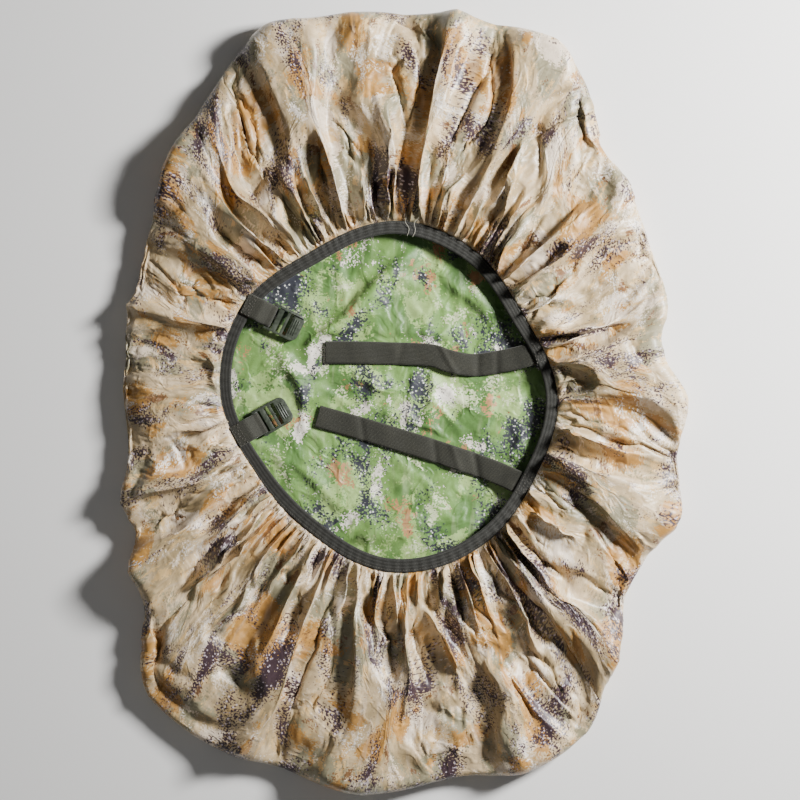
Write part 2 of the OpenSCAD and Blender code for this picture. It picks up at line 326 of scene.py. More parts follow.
def curved(p, q, r, s, t):  # between q and r, on a smooth curve through all four
    return q + t / 2 * (r - p + t * (2 * p - 5 * q + 4 * r - s + t * (3 * (q - r) + s - p)))


def around(radii, angle):  # smooth closed curve through the radii, read at any angle
    n = len(radii)
    x = (angle % 360) * n / 360
    i = np.floor(x).astype(int)
    t = x - i
    p, q, r, s = [radii[(i + k) % n] for k in (-1, 0, 1, 2)]
    return curved(p, q, r, s, t)


def smooth(low, high, value):
    t = np.clip((value - low) / (high - low), 0, 1)
    return t * t * (3 - 2 * t)


def unit(v):
    return v / np.maximum(np.linalg.norm(v, axis=-1, keepdims=True), 1e-12)


def gridMesh(name, points, maps=None, mapName="flatCut", closeA=False, closeB=False):
    # points is an (a, b, 3) grid; faces turn from a to b
    a, b = points.shape[:2]
    index = np.arange(a * b).reshape(a, b)
    if closeA:
        index = np.vstack([index, index[:1]])
    if closeB:
        index = np.hstack([index, index[:, :1]])
    faces = np.stack([index[:-1, :-1], index[1:, :-1], index[1:, 1:], index[:-1, 1:]], -1).reshape(-1, 4)
    mesh = bpy.data.meshes.new(name)
    mesh.from_pydata(points.reshape(-1, 3).tolist(), [], faces.tolist())
    if maps is not None:  # maps is one longer than points where the grid closes
        own = np.arange(maps.shape[0] * maps.shape[1]).reshape(maps.shape[:2])
        corner = np.stack([own[:-1, :-1], own[1:, :-1], own[1:, 1:], own[:-1, 1:]], -1).reshape(-1)
        layer = mesh.uv_layers.new(name=mapName)
        layer.data.foreach_set("uv", maps.reshape(-1, 2)[corner].reshape(-1))
    piece = placed(name, mesh)
    mesh.shade_smooth()
    return piece


def applied(piece):  # turns what the modifiers make into the piece's own mesh
    done = bpy.data.meshes.new_from_object(piece.evaluated_get(bpy.context.evaluated_depsgraph_get()))
    piece.modifiers.clear()
    piece.data = done
    return piece


def addThickness(piece, thickness, offset, inner=0):
    solid = piece.modifiers.new("thickness", "SOLIDIFY")
    solid.thickness, solid.offset = thickness, offset
    solid.material_offset, solid.use_even_offset = inner, False
    return applied(piece)


class Waves:  # smooth seeded noise on a grid that closes in its first direction
    def __init__(self, seed):
        self.draw = np.random.default_rng(seed)

    def field(self, turns, cells, across):  # turns from 0 to 1 round, across in cells
        angle = self.draw.uniform(0, 2 * np.pi, (cells, 64))
        x, y = turns * cells, across
        i, j = np.floor(x).astype(int), np.floor(y).astype(int)
        fx, fy = x - i, y - j

        def corner(di, dj):
            a = angle[(i + di) % cells, (j + dj) % 64]
            return np.cos(a) * (fx - di) + np.sin(a) * (fy - dj)
        s, t = [f * f * f * (f * (f * 6 - 15) + 10) for f in (fx, fy)]
        low = corner(0, 0) * (1 - s) + corner(1, 0) * s
        high = corner(0, 1) * (1 - s) + corner(1, 1) * s
        return (low * (1 - t) + high * t) * 1.5


# the gathered walls
gather = {
    "columns": 1440, "rows": 60, "rowCrowding": 1.3, "finalRows": 92, "seed": 7,
    "rollRadius": 0.013, "rollEnd": 75, "floorGap": 0.0028, "crest": 0.029, "hemHeight": 0.0157,
    "hemReach": 0.002, "hemOut": 0.0095, "slack": 1.03, "thickness": 0.0004, "relief": 1.35,
    # pleats round the mouth; centre and spread are in how tightly the cloth is gathered there
    "pleatCounts": (112, 56, 28, 14), "pleatCentres": (1.10, 0.86, 0.60, 0.22),
    "pleatSpreads": (0.15, 0.17, 0.20, 0.30), "squeeze": 0.25, "lean": 0.45, "steepest": 0.8,
    "crisp": 0.85, "leastGap": 0.16, "swerve": 0.024, "swerveCells": 26, "swerveLength": 0.085,
    # cells round, length of a cell, depth
    "puffs": ((22, 0.100, 0.0150), (44, 0.055, 0.0060)),
    "ridges": ((28, 0.110, 0.0130), (60, 0.060, 0.0060)),
    "crumple": ((110, 0.032, 0.0006),), "softTop": 0.036, "topLimit": 0.0475,
    # rows that hold still and that ease off at the outer edge, then the cloth's own settings
    "heldRows": 5, "easeRows": (0.6, 0.35, 0.15), "simFrames": 3, "gravity": 0.20, "tension": 15,
    "bending": 0.4, "mass": 0.05,
    "turnedUp": 0.008,  # above this, an inner face that a tight fold turns up takes the outer print
}
cornerSeams = {"right": 304 - 360, "top": 54, "left": 118, "bottom": 232}  # where each wall starts
wallEnds = {"right": 54, "top": 118, "left": 232, "bottom": 304}


def wallSections(panel, rim):  # radius and height down each column, from foot to hem
    g = gather
    radii, heights, lengths = [], [], []
    along = 1 - (1 - np.linspace(0, 1, g["rows"])) ** g["rowCrowding"]
    for p, m in zip(panel, rim):
        roll = np.radians(np.linspace(-90, g["rollEnd"], 12))
        r = p + g["rollRadius"] * np.cos(roll)
        z = g["floorGap"] + g["rollRadius"] * (1 + np.sin(roll))
        t = np.linspace(0, 1, 24)[1:]
        rise = g["crest"] - (z[-1] + g["hemHeight"]) / 2
        hem = m + g["hemOut"]
        r, z = (np.concatenate([r, r[-1] + (hem - r[-1]) * t, [m + g["hemReach"]]]),
                np.concatenate([z, z[-1] + (g["hemHeight"] - z[-1]) * t + rise * np.sin(np.pi * t),
                                [g["hemHeight"]]]))
        s = np.concatenate([[0], np.cumsum(np.hypot(np.diff(r), np.diff(z)))])
        k = along * s[-1]
        radii.append(np.interp(k, s, r))
        heights.append(np.interp(k, s, z))
        lengths.append(k)
    return np.array(radii), np.array(heights), np.array(lengths)


def withinHeight(z):  # above the floor, and easing off below the highest that the cover may stand
    g = gather
    room = g["topLimit"] - g["softTop"]
    return np.where(z > g["softTop"], g["softTop"] + room * np.tanh((z - g["softTop"]) / room),
                    np.maximum(z, g["floorGap"]))


def gatheredSurface():
    g = gather
    angle = np.arange(g["columns"]) * 360 / g["columns"]
    panel = around(ringOf("base_panel", np.max), angle)
    rim = (around(ringOf("rim_binding", np.max), angle) + around(ringOf("rim_binding", np.min), angle)) / 2
    radius, height, down = wallSections(panel, rim)
    ca, sa = np.cos(np.radians(angle))[:, None], np.sin(np.radians(angle))[:, None]
    mean = np.stack([mouth[0] + radius * ca, mouth[1] + radius * sa, height], -1)
    outer = mean[:, 6]
    cut = np.linalg.norm(np.roll(outer, -1, 0) - outer, axis=1) * g["slack"]  # flat width of a column
    width = np.linalg.norm(np.roll(mean, -1, 0) - mean, axis=2)
    ratio = np.maximum(cut[:, None] / width, 1.0)
    flatX = np.concatenate([[0], np.cumsum(cut)])
    total = flatX[-1]
    turns = (flatX[:-1] / total)[:, None] * np.ones_like(down)
    share = down / down[:, -1:]
    draw = np.random.default_rng(g["seed"])

    def wander(n, size):  # smooth closed wobble over the columns
        k = np.arange(1, n)
        c = draw.normal(size=(len(k), 2)) / np.sqrt(len(k))
        u = flatX[:-1] / total * 2 * np.pi
        return size * (np.cos(np.outer(u, k)) @ c[:, 0] + np.sin(np.outer(u, k)) @ c[:, 1])

    waves = Waves(g["seed"] + 1)
    tightness = np.log(np.maximum(ratio, 1.0001)) / np.log(2.1)
    weights = [np.exp(-((tightness - c) / w) ** 2) for c, w in zip(g["pleatCentres"], g["pleatSpreads"])]
    norm = np.sqrt(sum(w ** 2 for w in weights)) + 1e-9
    swerve = waves.field(turns, g["swerveCells"], down / g["swerveLength"]) * g["swerve"] / total
    bent = turns + swerve * smooth(1.0, 0.75, share)  # the folds wander sideways away from the hem
    lift, slide = np.zeros_like(radius), np.zeros_like(radius)
    for n, weight in zip(g["pleatCounts"], weights):
        phase = n * bent * 2 * np.pi + wander(n // 2 + 3, 1.6)[:, None]
        slope = np.sqrt(np.maximum(ratio ** 2 - 1, 0) / 2) * weight / norm
        size = total / n / ratio / np.pi * slope * (1 + 0.35 * np.tanh(wander(n // 2 + 2, 1.0)))[:, None]
        lean = g["lean"] * np.tanh(wander(n // 3 + 3, 1.4))[:, None]
        steep = 2.7 * slope * np.hypot(g["squeeze"], lean)  # past 1 the cloth would turn inside out
        hold = np.minimum(1, g["steepest"] / np.maximum(steep, 1e-9))
        flatSided = np.arcsin(0.985 * np.sin(phase)) * 0.7  # nearly flat faces that meet in a ridge
        wave = np.sin(phase) * (1 - g["crisp"]) + flatSided * g["crisp"]
        lift += size * wave
        slide += size * hold * (g["squeeze"] * np.cos(phase) + lean * wave)
    free = smooth(0.04, 0.22, share) * smooth(0.99, 0.80, share)
    for cells, length, depth in g["puffs"]:
        lift += depth * (np.abs(waves.field(bent % 1, cells, down / length)) ** 0.8 - 0.28) * free
    for cells, length, depth in g["ridges"]:
        mask = smooth(-0.2, 0.4, waves.field(turns, 20, down / 0.08))
        lift += depth * (0.28 - np.abs(waves.field(bent % 1, cells, down / length)) ** 0.8) * mask * free
    for k in range(g["rows"]):  # neighbours keep their order along the row
        room = np.diff(np.append(slide[:, k], slide[0, k])) + width[:, k]
        kept = np.maximum(room, g["leastGap"] * width[:, k])
        moved = np.concatenate([[0], np.cumsum(kept * width[:, k].sum() / kept.sum() - width[:, k])[:-1]])
        slide[:, k] = moved - moved.mean() + slide[:, k].mean()
    edge, toHem = smooth(0, 0.16, share), down[:, -1:] - down
    hem = 1 - 0.86 * smooth(0.016, 0.0075, toHem)
    closed = smooth(0.0045, 0.0080, toHem)
    lift *= edge * hem * closed
    slide *= smooth(0.06, 0.22, share) * smooth(0.004, 0.014, toHem)
    stepU = np.roll(mean, -1, 0) - np.roll(mean, 1, 0)
    stepV = np.gradient(mean, axis=1)
    out = unit(np.cross(stepU, stepV))
    out *= np.sign(out[:, g["rows"] // 2, 2].mean())
    start = mean + out * lift[..., None] * g["relief"] + unit(stepU) * slide[..., None]
    start[..., 2] = withinHeight(start[..., 2])
    return start, flatX, down, total


def betweenRows(grid, rows):  # the same surface with more rows, on smooth curves down each column
    last = grid.shape[1] - 1
    x = np.linspace(0, last, rows)
    i = np.minimum(np.floor(x).astype(int), last - 1)
    t = (x - i).reshape((1, -1) + (1,) * (grid.ndim - 2))
    p, q, r, s = [grid[:, np.clip(i + k, 0, last)] for k in (-1, 0, 1, 2)]
    return curved(p, q, r, s, t)


def crumpled(points, flatX, down, total):  # small sharp creases in the settled cloth
    g = gather
    waves = Waves(g["seed"] + 2)
    turns = (flatX[:-1] / total)[:, None] * np.ones_like(down)
    share = down / down[:, -1:]
    free = smooth(0.05, 0.2, share) * smooth(0.99, 0.9, share)
    mask = 0.35 + 0.65 * smooth(-0.3, 0.4, waves.field(turns, 16, down / 0.1))
    lift = np.zeros_like(down)
    for cells, length, depth in g["crumple"]:
        lift += depth * (0.28 - np.abs(waves.field(turns, cells, down / length)) ** 0.8) * 2 * mask * free
    out = unit(np.cross(np.roll(points, -1, 0) - np.roll(points, 1, 0), np.gradient(points, axis=1)))
    out *= np.sign(out[:, points.shape[1] // 2, 2].mean())
    points = points + out * lift[..., None]
    points[..., 2] = withinHeight(points[..., 2])
    return points


def relaxed(start, flatX, down, total):  # lets the cloth settle under a little of its weight
    g = gather
    theta = flatX[:-1] / total * 2 * np.pi
    big = total / (2 * np.pi)
    flat = np.stack([np.repeat((big * np.cos(theta))[:, None], g["rows"], 1),
                     np.repeat((big * np.sin(theta))[:, None], g["rows"], 1), down], -1)
    piece = gridMesh("settling", start, closeA=True)
    piece.shape_key_add(name="Basis")
    key = piece.shape_key_add(name="flat")
    key.data.foreach_set("co", flat.reshape(-1))
    key.value = 0
    held = piece.vertex_groups.new(name="held")
    index = np.arange(start.shape[0] * start.shape[1]).reshape(start.shape[:2])
    held.add(index[:, :g["heldRows"]].reshape(-1).tolist() + index[:, -4:].reshape(-1).tolist(), 1.0,
             "REPLACE")
    for k, firm in enumerate(g["easeRows"]):
        held.add(index[:, g["heldRows"] + k].tolist(), firm, "REPLACE")
    cloth = piece.modifiers.new("cloth", "CLOTH")
    s = cloth.settings
    s.quality, s.mass, s.bending_model = 6, g["mass"], "ANGULAR"
    s.tension_stiffness = s.compression_stiffness = g["tension"]
    s.shear_stiffness, s.bending_stiffness = g["tension"] * 0.4, g["bending"]
    s.tension_damping, s.compression_damping, s.shear_damping, s.bending_damping = 10, 10, 5, 0.5
    s.air_damping, s.vertex_group_mass, s.rest_shape_key = 2, "held", key
    s.effector_weights.gravity = g["gravity"]
    cloth.collision_settings.use_collision = True
    cloth.collision_settings.distance_min = 0.001
    under = bpy.data.meshes.new("settleFloor")
    under.from_pydata([(-1, -1, 0.0002), (1, -1, 0.0002), (1, 1, 0.0002), (-1, 1, 0.0002)], [],
                      [(0, 1, 2, 3)])
    stop = placed("settleFloor", under)
    stop.modifiers.new("stop", "COLLISION")
    scene.frame_start, scene.frame_end = 1, 60
    cloth.point_cache.frame_start, cloth.point_cache.frame_end = 1, 60
    for f in range(1, g["simFrames"] + 1):
        scene.frame_set(f)
    result = bpy.data.meshes.new_from_object(piece.evaluated_get(bpy.context.evaluated_depsgraph_get()))
    points = np.zeros(len(result.vertices) * 3)
    result.vertices.foreach_get("co", points)
    for one in (piece, stop):
        bpy.data.objects.remove(one, do_unlink=True)
    bpy.data.meshes.remove(result)
    scene.frame_set(1)
    points = points.reshape(start.shape)
    points[..., 2] = withinHeight(points[..., 2])
    return points


def makeWalls():
    start, flatX, down, total = gatheredSurface()
    start = relaxed(start, flatX, down, total)
    start, down = betweenRows(start, gather["finalRows"]), betweenRows(down, gather["finalRows"])
    start = crumpled(start, flatX, down, total)
    print("walls settled, highest point", round(float(start[..., 2].max()), 4))
    walls, step = [], 360 / gather["columns"]
    for side, begin in cornerSeams.items():
        first, last = round(begin / step), round(wallEnds[side] / step)
        pick = np.arange(first, last + 1)
        ring = pick % gather["columns"]
        x = flatX[ring] + total * (pick // gather["columns"])
        maps = np.stack([np.repeat(x[:, None], gather["finalRows"], 1), down[ring]], -1)
        piece = gridMesh(side + "Wall", start[ring], maps)
        for skin in (desertOutside, woodlandInside):
            piece.data.materials.append(skin)
        addThickness(piece, gather["thickness"], -1, 1)
        for face in piece.data.polygons:
            if face.material_index == 1 and face.normal.z > 0 and face.center.z > gather["turnedUp"]:
                face.material_index = 0
        piece["cutWidth"] = float(x[-1] - x[0])
        piece["cutLength"] = float(down[ring, -1].max())
        piece["cutArea"] = float((np.diff(x) * (down[ring][:-1, -1] + down[ring][1:, -1]) / 2).sum())
        walls.append((side, piece))
    return walls


walls = makeWalls()


# the big panel
panelCloth = {
    "columns": 400, "rows": 112, "rowCrowding": 1.4, "thickness": 0.0008, "seed": 21,
    "low": 0.0003, "highest": 0.0105,
    "limit": 0.0018, "hiddenTop": 0.0014,  # highest under the straps, and out under the walls
    "seenTo": 0.165, "hiddenFrom": 0.185, "creasesEnd": (0.176, 0.160),  # distances from the mouth's middle
    "ripple": 0.0024, "rippleLength": 0.046, "fine": 0.0005, "fineLength": 0.022,
    "sharp": 0.0014, "sharpLength": 0.034, "sharpHalf": 0.34,
    "steepShare": 0.26, "steepLeast": 0.0042, "softSide": 1.7,  # each crease has a steep and a soft side
    "creases": [  # two ends, height and half width, all in metres
        ((-0.100, 0.066), (0.012, 0.160), 0.0115, 0.012),
        ((0.013, -0.033), (0.011, 0.078), 0.0034, 0.007),
        ((0.030, -0.033), (0.033, 0.078), 0.0032, 0.007),
        ((-0.061, -0.165), (0.033, -0.111), 0.0100, 0.013),
        ((0.112, -0.062), (0.148, -0.038), 0.0050, 0.008),
        ((-0.108, -0.010), (-0.128, 0.050), 0.0060, 0.008),
        ((-0.110, 0.030), (-0.150, 0.020), 0.0055, 0.007),
        ((-0.060, -0.120), (-0.128, -0.070), 0.0065, 0.010),
        ((0.105, 0.080), (0.050, 0.140), 0.0060, 0.010),
        ((0.060, -0.020), (0.125, 0.010), 0.0036, 0.007),
        ((0.000, 0.010), (-0.050, 0.020), 0.0032, 0.006),
    ],
}


def makePanel():
    p = panelCloth
    angle = np.arange(p["columns"]) * 360 / p["columns"]
    edge = around(ringOf("base_panel", np.max), angle)
    t = np.linspace(0, 1, p["rows"])[1:] ** p["rowCrowding"]
    ca, sa = np.cos(np.radians(angle))[:, None], np.sin(np.radians(angle))[:, None]
    x, y = mouth[0] + edge[:, None] * t * ca, mouth[1] + edge[:, None] * t * sa
    waves = Waves(p["seed"])
    wide = 2.0  # the noise repeats only past the panel
    rough = waves.field(x / wide + 0.5, 44, y / p["rippleLength"] + 20)
    fine = waves.field(x / wide + 0.5, 90, y / p["fineLength"] + 30)
    sharp = waves.field(x / wide + 0.5, 60, y / p["sharpLength"] + 9)
    reach = np.hypot(x - mouth[0], y - mouth[1])
    z = p["ripple"] * (0.5 + rough) + p["fine"] * np.abs(fine)
    z += p["sharp"] * np.maximum(p["sharpHalf"] - np.abs(sharp), 0) / p["sharpHalf"]
    soft = smooth(*p["creasesEnd"], reach)
    for a, b, high, half in p["creases"]:
        a, b = np.array(a), np.array(b)
        d = b - a
        k = ((x - a[0]) * d[0] + (y - a[1]) * d[1]) / (d @ d)
        along = np.clip(k, 0, 1)
        sway = 0.004 * np.sin(along * 5 + a[0] * 90)
        normal = np.array([-d[1], d[0]]) / np.linalg.norm(d)
        aside = (x - a[0]) * normal[0] + (y - a[1]) * normal[1] - sway
        beyond = (k - along) * np.linalg.norm(d)
        steep = max(half * p["steepShare"], p["steepLeast"]) / half
        off = np.hypot(np.where(aside > 0, aside / steep, aside / p["softSide"]), beyond)
        z += high * np.exp(-(off / half) ** 1.3) * (1 - 0.5 * np.abs(2 * along - 1)) * soft
    z = p["low"] + np.minimum(np.maximum(z, 0), p["highest"])
    cap = p["hiddenTop"] + (p["highest"] - p["hiddenTop"]) * smooth(p["hiddenFrom"], p["seenTo"], reach)
    z = np.where(reach < p["seenTo"], z, np.minimum(z, cap))
    under = strapShade(x, y)
    z = z * (1 - under) + np.minimum(z, p["limit"]) * under
    z *= 1 - 0.7 * smooth(0.97, 1.0, t)[None, :]
    points = np.stack([x, y, np.maximum(z, p["low"])], -1)
    piece = gridMesh("bigPanel", points, closeA=True)
    shape = bmesh.new()
    shape.from_mesh(piece.data)
    shape.verts.ensure_lookup_table()
    inner = [shape.verts[k * (p["rows"] - 1)] for k in range(p["columns"])]
    centre = shape.verts.new((mouth[0], mouth[1], float(points[:, 0, 2].mean())))
    for k in range(p["columns"]):
        shape.faces.new((inner[k], inner[(k + 1) % p["columns"]], centre)).smooth = True
    bmesh.ops.recalc_face_normals(shape, faces=shape.faces)
    if sum(f.normal.z for f in shape.faces) < 0:
        bmesh.ops.reverse_faces(shape, faces=shape.faces)
    shape.to_mesh(piece.data)
    shape.free()
    for skin in (woodlandPanel, desertUnder):
        piece.data.materials.append(skin)
    addThickness(piece, p["thickness"], 1, 0)
    for face in piece.data.polygons:
        if face.normal.z < -0.3:
            face.material_index = 1
    area = float((edge ** 2).sum() * math.pi / p["columns"])
    return piece, (float(np.ptp(x)), float(np.ptp(y))), area


# the strap routes, as in the model's source, in metres
strapWebbing = {
    "width": 0.025, "thickness": 0.0012, "rimHeight": 0.014, "freeIn": 0.004, "leadIn": 0.010,
    "rootOut": 0.0125, "stations": 300, "across": 13,
    "strapClear": (0.024, 0.0170), "buckleClear": (0.036, 0.026),  # the panel stays low this far out
    "upper": {"way": 196, "edge": (0.146842, 0.051232), "route": [
        (0.117, 0.044, 0.0085), (0.083, 0.039, 0.005), (0.056, 0.043, 0.0075), (0.033, 0.050, 0.006),
        (-0.011, 0.052, 0.0045), (-0.050, 0.053, 0.0055), (-0.083, 0.053, 0.005)],
        "dips": ((0.087, 0.0012, 0.004, 0), (0.054, -0.0012, 0.004, 35), (0.108, 0.0010, 0.004, 0),
                 (0.000, 0.0006, 0.004, -15))},
    "lower": {"way": 155, "edge": (0.131413, -0.091426), "route": [
        (0.108, -0.081, 0.0085), (0.084, -0.072, 0.005), (0.060, -0.064, 0.0065), (0.033, -0.055, 0.005),
        (-0.022, -0.038, 0.0055), (-0.060, -0.027, 0.0045), (-0.092, -0.018, 0.005)],
        "dips": ((-0.042, 0.0010, 0.004, 10), (0.039, 0.0010, 0.004, 8), (0.085, 0.0013, 0.004, 12),
                 (0.062, -0.0008, 0.004, 20))},
}


def throughPoints(points, steps):  # smooth open curve through points
    points = np.array(points, float)
    n, line = len(points) - 1, []
    for i in range(n):
        p, q, r, s = [points[min(max(i + k, 0), n)] for k in (-1, 0, 1, 2)]
        for j in range(steps):
            t = j / steps
            line.append(curved(p, q, r, s, t))
    return np.array(line + [points[-1]])


def evenly(line, count):
    s = np.concatenate([[0], np.cumsum(np.linalg.norm(np.diff(line, axis=0), axis=1))])
    k = np.linspace(0, s[-1], count)
    return np.stack([np.interp(k, s, line[:, c]) for c in range(line.shape[1])], -1), k


def strapLine(which):
    w, own = strapWebbing, strapWebbing[which]
    way = math.radians(own["way"])
    lead = np.array([math.cos(way), math.sin(way)])
    edge, z = np.array(own["edge"]), w["rimHeight"] - w["thickness"] / 2
    sewn = [(*(edge + d * lead), z) for d in (-w["rootOut"], -0.006, 0.0, w["freeIn"])]
    ahead = [(*(edge + (w["freeIn"] + 0.001) * lead), z), (*(edge + w["leadIn"] * lead), z - 0.001)]
    line = np.vstack([np.array(sewn[:-1]), throughPoints([sewn[-1]] + ahead + own["route"], 12)])
    return evenly(line, w["stations"])


def strapShade(x, y):  # 1 under the straps and the buckles, 0 well away from them
    shade = np.zeros_like(x)
    for which in ("upper", "lower"):
        line = strapLine(which)[0][::6]
        gap = np.min(np.hypot(x[..., None] - line[:, 0], y[..., None] - line[:, 1]), -1)
        shade = np.maximum(shade, smooth(*strapWebbing["strapClear"], gap))
    for name in ("upper_buckle_grip", "lower_buckle_grip"):
        place = mounts[name]
        gap = np.hypot(x - place[0], y - place[1])
        shade = np.maximum(shade, smooth(*strapWebbing["buckleClear"], gap))
    return shade


bigPanel, panelFlat, panelArea = makePanel()
print("big panel laid")


def bandMesh(name, line, side, up, width, thickness, across, mapRun, sag=None):
    # webbing: a closed flat band with rounded selvedges
    k = np.linspace(-1, 1, across)
    half = thickness / 2 * np.sqrt(np.maximum(1 - np.abs(k) ** 6, 0.12))
    loop = np.concatenate([np.stack([k * width / 2, half], -1),
                           np.stack([k[::-1] * width / 2, -half[::-1]], -1)])
    crown = np.zeros((len(line), len(loop))) if sag is None else sag(line, side, loop[:, 0])
    points = (line[:, None] + side[:, None] * loop[None, :, :1]
              + up[:, None] * (loop[None, :, 1:] + crown[..., None]))
    own = np.vstack([loop, loop[:1]])
    spread = np.concatenate([[0], np.cumsum(np.linalg.norm(np.diff(own, axis=0), axis=1))])
    maps = np.stack([np.repeat(mapRun[:, None], len(spread), 1), np.repeat(spread[None], len(line), 0)], -1)
    piece = gridMesh(name, points, maps, "tapeMap", closeB=True)
    shape = bmesh.new()
    shape.from_mesh(piece.data)
    shape.verts.ensure_lookup_table()
    n, m = len(line), len(loop)
    layer = shape.loops.layers.uv["tapeMap"]
    for base in (0, (n - 1) * m):  # cut ends
        for i in range(across - 1):
            ring = [shape.verts[base + j] for j in (i, i + 1, m - 2 - i, m - 1 - i)]
            face = shape.faces.new(ring)
            for corner, j in zip(face.loops, (i, i + 1, m - 2 - i, m - 1 - i)):
                corner[layer].uv = (mapRun[0] + loop[j, 1], loop[j, 0] + width)
    bmesh.ops.recalc_face_normals(shape, faces=shape.faces)
    shape.to_mesh(piece.data)
    shape.free()
    piece.data.materials.append(webbingWeave)
    return piece


def makeStrap(which):
    w, own = strapWebbing, strapWebbing[which]
    line, run = strapLine(which)
    ahead = unit(np.gradient(line, axis=0))
    side = unit(np.stack([-ahead[:, 1], ahead[:, 0], np.zeros(len(line))], -1))
    up = np.cross(ahead, side)
    freeAt = w["rootOut"] + w["leadIn"]

    def sag(line, side, offset):  # shallow dips and folds that run across the strap
        x = line[:, None, 0] + side[:, None, 0] * offset[None]
        y = offset[None] * np.ones_like(x)
        z = np.zeros_like(x)
        for place, deep, half, slant in own["dips"]:
            z -= deep * np.exp(-((x - place - y * math.tan(math.radians(slant))) / half) ** 2)
        ripple = 0.00025 * np.sin(run[:, None] * 160 + offset[None] * 90)
        return (z + ripple) * smooth(freeAt, freeAt + 0.012, run)[:, None]

    piece = bandMesh(which + "Strap", line, side, up, w["width"], w["thickness"], w["across"], run, sag)
    body = which + "_strap"
    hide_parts(body, which + "_strap_root")
    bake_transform(piece)
    print(which, "strap, metres long", round(float(run[-1]), 3))


for which in ("upper", "lower"):
    makeStrap(which)


# the binding round the mouth
binding = {
    "stations": 1200, "half": 0.0075, "low": 0.014, "high": 0.0173, "ply": 0.0008,
    "pucker": 0.00035, "puckers": 112, "waver": 0.0006, "seed": 5,
    "stitchIn": 0.0025, "stitchPitch": 0.0031, "stitchLength": 0.0023, "threadWidth": 0.0006,
}


def rimLine(stations):
    angle = np.arange(stations) * 360 / stations
    rim = (around(ringOf("rim_binding", np.max), angle) + around(ringOf("rim_binding", np.min), angle)) / 2
    return angle, rim


def bindingHeight(angle, offset, draws):
    b = binding
    wave = np.sin(np.radians(angle) * b["puckers"] + draws[0] * 2)
    return b["pucker"] * wave * (0.35 + 0.65 * smooth(-b["half"], b["half"], offset))


def bindingDraws(angle):
    draw = np.random.default_rng(binding["seed"])
    made = []
    for cells in (40, 26):
        made.append(around(draw.normal(size=cells) * 0.7, angle))
    return made


def makeBinding():
    b = binding
    angle, rim = rimLine(b["stations"])
    draws = bindingDraws(angle)
    mid, fold = (b["low"] + b["high"]) / 2, (b["high"] - b["low"] - b["ply"]) / 2
    flats = np.linspace(b["half"], -b["half"] + b["ply"] / 2 + fold, 9)
    turn = np.radians(np.linspace(90, 270, 9))[1:-1]
    inner = flats[-1]
    profile = np.concatenate([
        np.stack([flats, np.full(9, fold)], -1),
        np.stack([inner + fold * np.cos(turn), fold * np.sin(turn)], -1),
        np.stack([flats[::-1], np.full(9, -fold)], -1)])
    radius = rim[:, None] + profile[None, :, 0] + b["waver"] * draws[1][:, None] * (
        smooth(-b["half"], b["half"], profile[None, :, 0]))
    lift = bindingHeight(angle[:, None], profile[None, :, 0], [draws[0][:, None]])
    z = mid + profile[None, :, 1] + lift * np.where(profile[None, :, 1] > 0, 1, 0.6)
    ca, sa = np.cos(np.radians(angle))[:, None], np.sin(np.radians(angle))[:, None]
    points = np.stack([mouth[0] + radius * ca, mouth[1] + radius * sa, z], -1)
    centre = np.stack([mouth[0] + rim * ca[:, 0], mouth[1] + rim * sa[:, 0]], -1)
    run = np.concatenate([[0], np.cumsum(np.linalg.norm(np.diff(np.vstack([centre, centre[:1]]), axis=0),
                                                        axis=1))])
    spread = np.concatenate([[0], np.cumsum(np.linalg.norm(np.diff(profile, axis=0), axis=1))])
    maps = np.stack([np.repeat(run[:, None], len(spread), 1), np.repeat(spread[None], len(run), 0)], -1)
    piece = gridMesh("mouthBinding", points, maps, "tapeMap", closeA=True)
    piece.data.materials.append(bindingRib)
    addThickness(piece, b["ply"], 0)
    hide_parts("rim_binding")
    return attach(piece, "cover")


mouthBinding = makeBinding()
print("binding folded over the rim")


